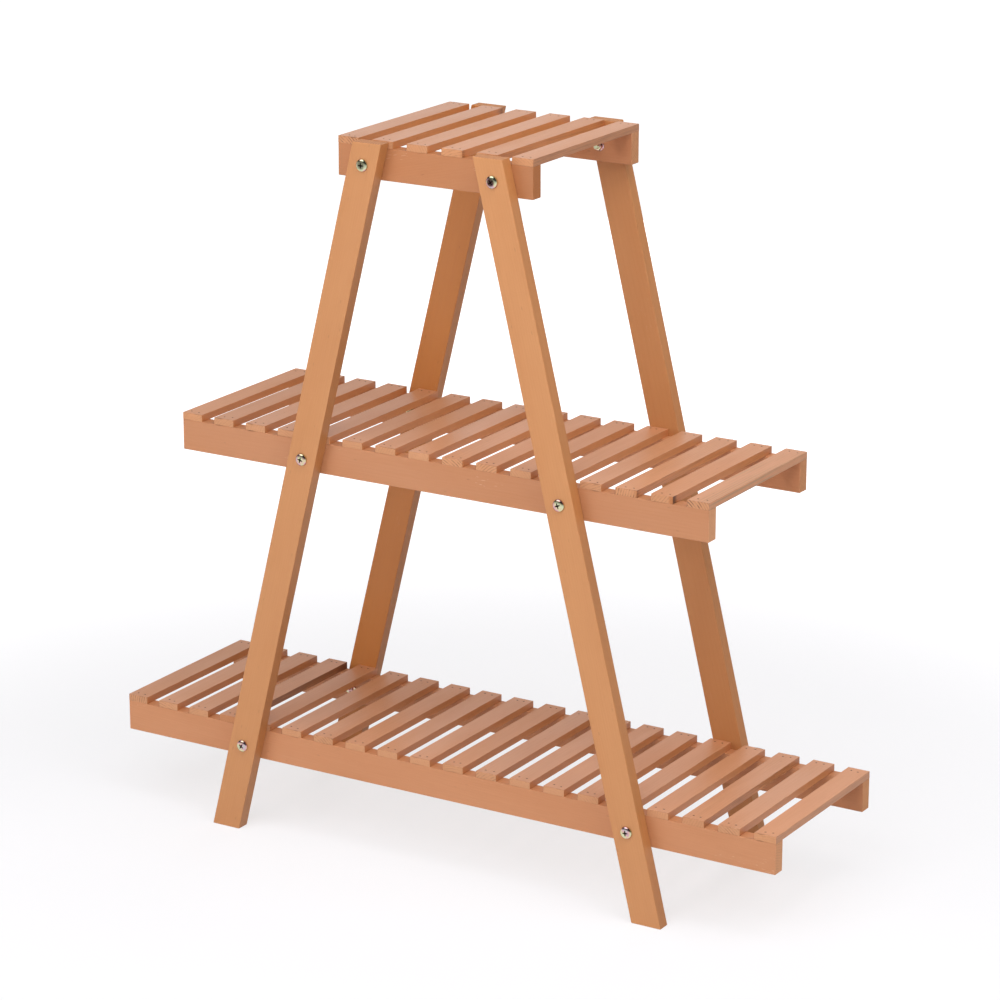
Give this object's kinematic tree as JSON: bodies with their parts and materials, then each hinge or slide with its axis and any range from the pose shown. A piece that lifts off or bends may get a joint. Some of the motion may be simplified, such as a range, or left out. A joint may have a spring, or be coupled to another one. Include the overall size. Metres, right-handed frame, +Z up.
{
  "type": "tiered plant stand",
  "caption": "Free-standing tiered wooden plant stand: slatted shelves, longer towards the floor, on rails bolted between leaning legs.",
  "frame": {"origin": "on the floor, under the middle of the stand", "axes": "+X along the shelves to the right, +Y to the back, +Z up"},
  "size_m": [0.96, 0.2996, 0.933],
  "materials": {
    "leg_wood": "orange-tan stained softwood, planed, fine straight grain along the leg, satin",
    "rail_wood": "orange-tan stained softwood, planed, fine straight grain along the rail, satin",
    "slat_wood": "pinkish-tan stained softwood, planed, grain along the slat, end grain at both ends",
    "zinc_plate": "bright yellow-passivated zinc plate with green and pink sheen"
  },
  "bodies": {
    "root": {"leg_front_left": "leg_wood", "leg_front_right": "leg_wood", "leg_rear_left": "leg_wood", "leg_rear_right": "leg_wood", "top_rail_front": "rail_wood", "top_rail_rear": "rail_wood", "middle_rail_front": "rail_wood", "middle_rail_rear": "rail_wood", "bottom_rail_front": "rail_wood", "bottom_rail_rear": "rail_wood", "top_slat_1": "slat_wood", "top_slat_2": "slat_wood", "top_slat_3": "slat_wood", "top_slat_4": "slat_wood", "top_slat_5": "slat_wood", "top_slat_6": "slat_wood", "middle_slat_1": "slat_wood", "middle_slat_2": "slat_wood", "middle_slat_3": "slat_wood", "middle_slat_4": "slat_wood", "middle_slat_5": "slat_wood", "middle_slat_6": "slat_wood", "middle_slat_7": "slat_wood", "middle_slat_8": "slat_wood", "middle_slat_9": "slat_wood", "middle_slat_10": "slat_wood", "middle_slat_11": "slat_wood", "middle_slat_12": "slat_wood", "middle_slat_13": "slat_wood", "middle_slat_14": "slat_wood", "middle_slat_15": "slat_wood", "middle_slat_16": "slat_wood", "bottom_slat_1": "slat_wood", "bottom_slat_2": "slat_wood", "bottom_slat_3": "slat_wood", "bottom_slat_4": "slat_wood", "bottom_slat_5": "slat_wood", "bottom_slat_6": "slat_wood", "bottom_slat_7": "slat_wood", "bottom_slat_8": "slat_wood", "bottom_slat_9": "slat_wood", "bottom_slat_10": "slat_wood", "bottom_slat_11": "slat_wood", "bottom_slat_12": "slat_wood", "bottom_slat_13": "slat_wood", "bottom_slat_14": "slat_wood", "bottom_slat_15": "slat_wood", "bottom_slat_16": "slat_wood", "bottom_slat_17": "slat_wood", "bottom_slat_18": "slat_wood", "bottom_slat_19": "slat_wood", "bottom_slat_20": "slat_wood", "bolts": "zinc_plate", "flange_nuts": "zinc_plate"}
  },
  "joints": []
}
